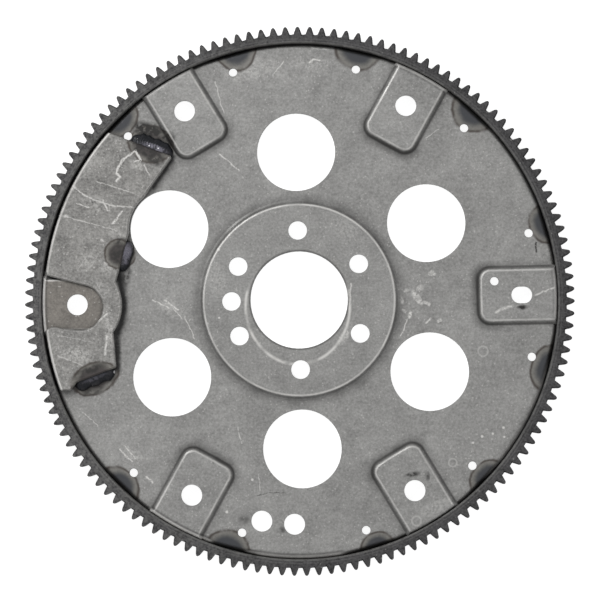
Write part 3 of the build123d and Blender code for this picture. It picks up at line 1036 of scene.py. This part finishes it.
class FLEXPLATE_OT_ring(bpy.types.Operator):
    """Give the ring gear its dark steel."""

    bl_idname = "flexplate.ring"
    bl_label = "Finish the ring gear"

    def execute(self, context):
        give(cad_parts["ring_gear"], ring_finish(*sizes_and_colours(context)))
        return {"FINISHED"}


class FLEXPLATE_OT_weight(bpy.types.Operator):
    """Give the counterweight its scratched steel."""

    bl_idname = "flexplate.weight"
    bl_label = "Finish the counterweight"

    def execute(self, context):
        give(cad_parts["counterweight"], weight_finish(*sizes_and_colours(context)))
        return {"FINISHED"}


class FLEXPLATE_OT_beads(bpy.types.Operator):
    """Build the three rippled weld beads that hold the counterweight."""

    bl_idname = "flexplate.beads"
    bl_label = "Build the counterweight's beads"

    def execute(self, context):
        sizes, colours = sizes_and_colours(context)
        material = scale_finish(colours)
        for seed, (node, (start, end, width)) in enumerate(BEAD_RUNS.items()):
            run = (mm(*start), mm(*end), mm(width))
            piece = bead_mesh(node.replace("weld", "bead"), *run, sizes, context.scene.flexplate_beads, seed)
            give(piece, material)
            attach(piece, "root")
            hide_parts(node)
        return {"FINISHED"}


class FLEXPLATE_OT_ring_welds(bpy.types.Operator):
    """Give the ring welds behind the rim their dark scale."""

    bl_idname = "flexplate.ring_welds"
    bl_label = "Finish the ring welds"

    def execute(self, context):
        material = scale_finish(context.scene.flexplate_colours)
        for node in RING_WELD_NODES:
            give(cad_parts[node], material)
        return {"FINISHED"}


# Each lamp's place and width, in metres
KEY_LAMP = ((-0.9, 1.0, 1.35), 0.7)
FILL_LAMP = ((1.1, -0.8, 1.2), 1.2)
SENSOR_WIDTH_MM = 36
FARTHEST_SEEN = 20


def seen_as_background(net):
    """1 for rays that show the background: seen straight, in gloss or through glass."""
    path = net.node("ShaderNodeLightPath").outputs
    return net.larger(path["Is Camera Ray"], path["Is Glossy Ray"], path["Is Transmission Ray"])


class FLEXPLATE_OT_stage(bpy.types.Operator):
    """Set the pale floor, the lamps, the surroundings and the camera."""

    bl_idname = "flexplate.stage"
    bl_label = "Set the stage"

    def execute(self, context):
        scene = context.scene
        stage = scene.flexplate_stage
        scene.view_settings.view_transform = "Standard"
        self.floor(scene, stage)
        self.surroundings(scene, stage)
        self.lamp(scene, "key_lamp", *KEY_LAMP, stage.key_power)
        self.lamp(scene, "fill_lamp", *FILL_LAMP, stage.fill_power)
        self.camera(scene, stage)
        return {"FINISHED"}

    def floor(self, scene, stage):
        """A wide pale floor under the ring's back, which shows white and keeps the shadow."""
        half = stage.floor_size / 2
        height = cad_box[0].z
        corners = [(x * half, y * half, height) for x, y in ((-1, -1), (1, -1), (1, 1), (-1, 1))]
        mesh = bpy.data.meshes.new("floor")
        mesh.from_pydata(corners, [], [(0, 1, 2, 3)])
        piece = placed(scene, "floor", mesh)
        material = bpy.data.materials.new("floor_white")
        material.use_nodes = True
        net = Net(material.node_tree)
        grain = net.ease(net.noise(net.place(), mm(40), 3.0), 0.2, 0.8, 0.97, 1.0)
        colour = net.mix(1.0, stage.floor_colour, net.grey(grain), "MULTIPLY")
        matt = net.node("ShaderNodeBsdfDiffuse", {"Color": colour}).outputs[0]
        white = net.times(seen_as_background(net), stage.floor_glow)
        glow = net.node("ShaderNodeEmission", {"Strength": white}).outputs[0]
        net.output("ShaderNodeOutputMaterial", net.node("ShaderNodeAddShader", {0: matt, 1: glow}))
        mesh.materials.append(material)

    def surroundings(self, scene, stage):
        """White where they are seen, and brightest overhead where they light the object."""
        scene.world = bpy.data.worlds.new("white_surroundings")
        scene.world.use_nodes = True
        net = Net(scene.world.node_tree)
        upward = net.parts(net.node("ShaderNodeTexCoord").outputs["Generated"])[2]
        overhead = net.ease(upward, 0.0, 0.9, 0.35, 1.15)
        strength = net.larger(seen_as_background(net), net.times(overhead, stage.sky_light))
        sky = net.node("ShaderNodeBackground", {"Color": (1, 1, 1), "Strength": strength})
        net.output("ShaderNodeOutputWorld", sky)

    def lamp(self, scene, name, place, width, power):
        """A square soft lamp that looks at the axis."""
        light = bpy.data.lights.new(name, "AREA")
        light.size = width
        light.energy = power
        piece = placed(scene, name, light)
        piece.location = place
        piece.rotation_euler = (-Vector(place)).to_track_quat("-Z", "Y").to_euler()

    def camera(self, scene, stage):
        """The camera above the plate, where the photograph was taken from."""
        data = bpy.data.cameras.new("camera")
        data.lens = stage.camera_lens
        data.sensor_width = SENSOR_WIDTH_MM
        data.clip_end = FARTHEST_SEEN
        piece = placed(scene, "camera", data)
        piece.rotation_euler = (stage.tilt_up, stage.tilt_side, stage.roll)
        turn = piece.rotation_euler.to_matrix()
        web = Vector((0, 0, scene.flexplate_sizes.web_level))
        piece.location = turn @ Vector((stage.camera_aside, 0, stage.camera_distance)) + web
        scene.camera = piece


PIECE_OPERATORS = (
    FLEXPLATE_OT_disc,
    FLEXPLATE_OT_ring,
    FLEXPLATE_OT_weight,
    FLEXPLATE_OT_beads,
    FLEXPLATE_OT_ring_welds,
    FLEXPLATE_OT_stage,
)


class FLEXPLATE_PT_panel(bpy.types.Panel):
    """The flexplate's operators and settings in the sidebar."""

    bl_label = "Flexplate"
    bl_space_type = "VIEW_3D"
    bl_region_type = "UI"
    bl_category = "Flexplate"

    def draw(self, context):
        layout = self.layout
        for operator in PIECE_OPERATORS:
            layout.operator(operator.bl_idname)
        for group in SETTINGS:
            box = layout.box()
            values = getattr(context.scene, group)
            for key in values.bl_rna.properties.keys():
                if key not in ("rna_type", "name"):
                    box.prop(values, key)


SETTINGS = {
    "flexplate_sizes": FlexplateSizes,
    "flexplate_beads": FlexplateBeads,
    "flexplate_colours": FlexplateColours,
    "flexplate_stage": FlexplateStage,
}

CLASSES = (*SETTINGS.values(), *PIECE_OPERATORS, FLEXPLATE_PT_panel)


def register():
    for one in CLASSES:
        bpy.utils.register_class(one)
    for key, group in SETTINGS.items():
        setattr(bpy.types.Scene, key, bpy.props.PointerProperty(type=group))


def unregister():
    for key in SETTINGS:
        delattr(bpy.types.Scene, key)
    for one in reversed(CLASSES):
        bpy.utils.unregister_class(one)


def write_sizes():
    """Bring the view layer up to date."""
    bpy.context.view_layer.update()


def main():
    register()
    bpy.ops.flexplate.disc()
    bpy.ops.flexplate.ring()
    bpy.ops.flexplate.weight()
    bpy.ops.flexplate.beads()
    bpy.ops.flexplate.ring_welds()
    bpy.ops.flexplate.stage()
    write_sizes()


if __name__ == "__main__":
    main()
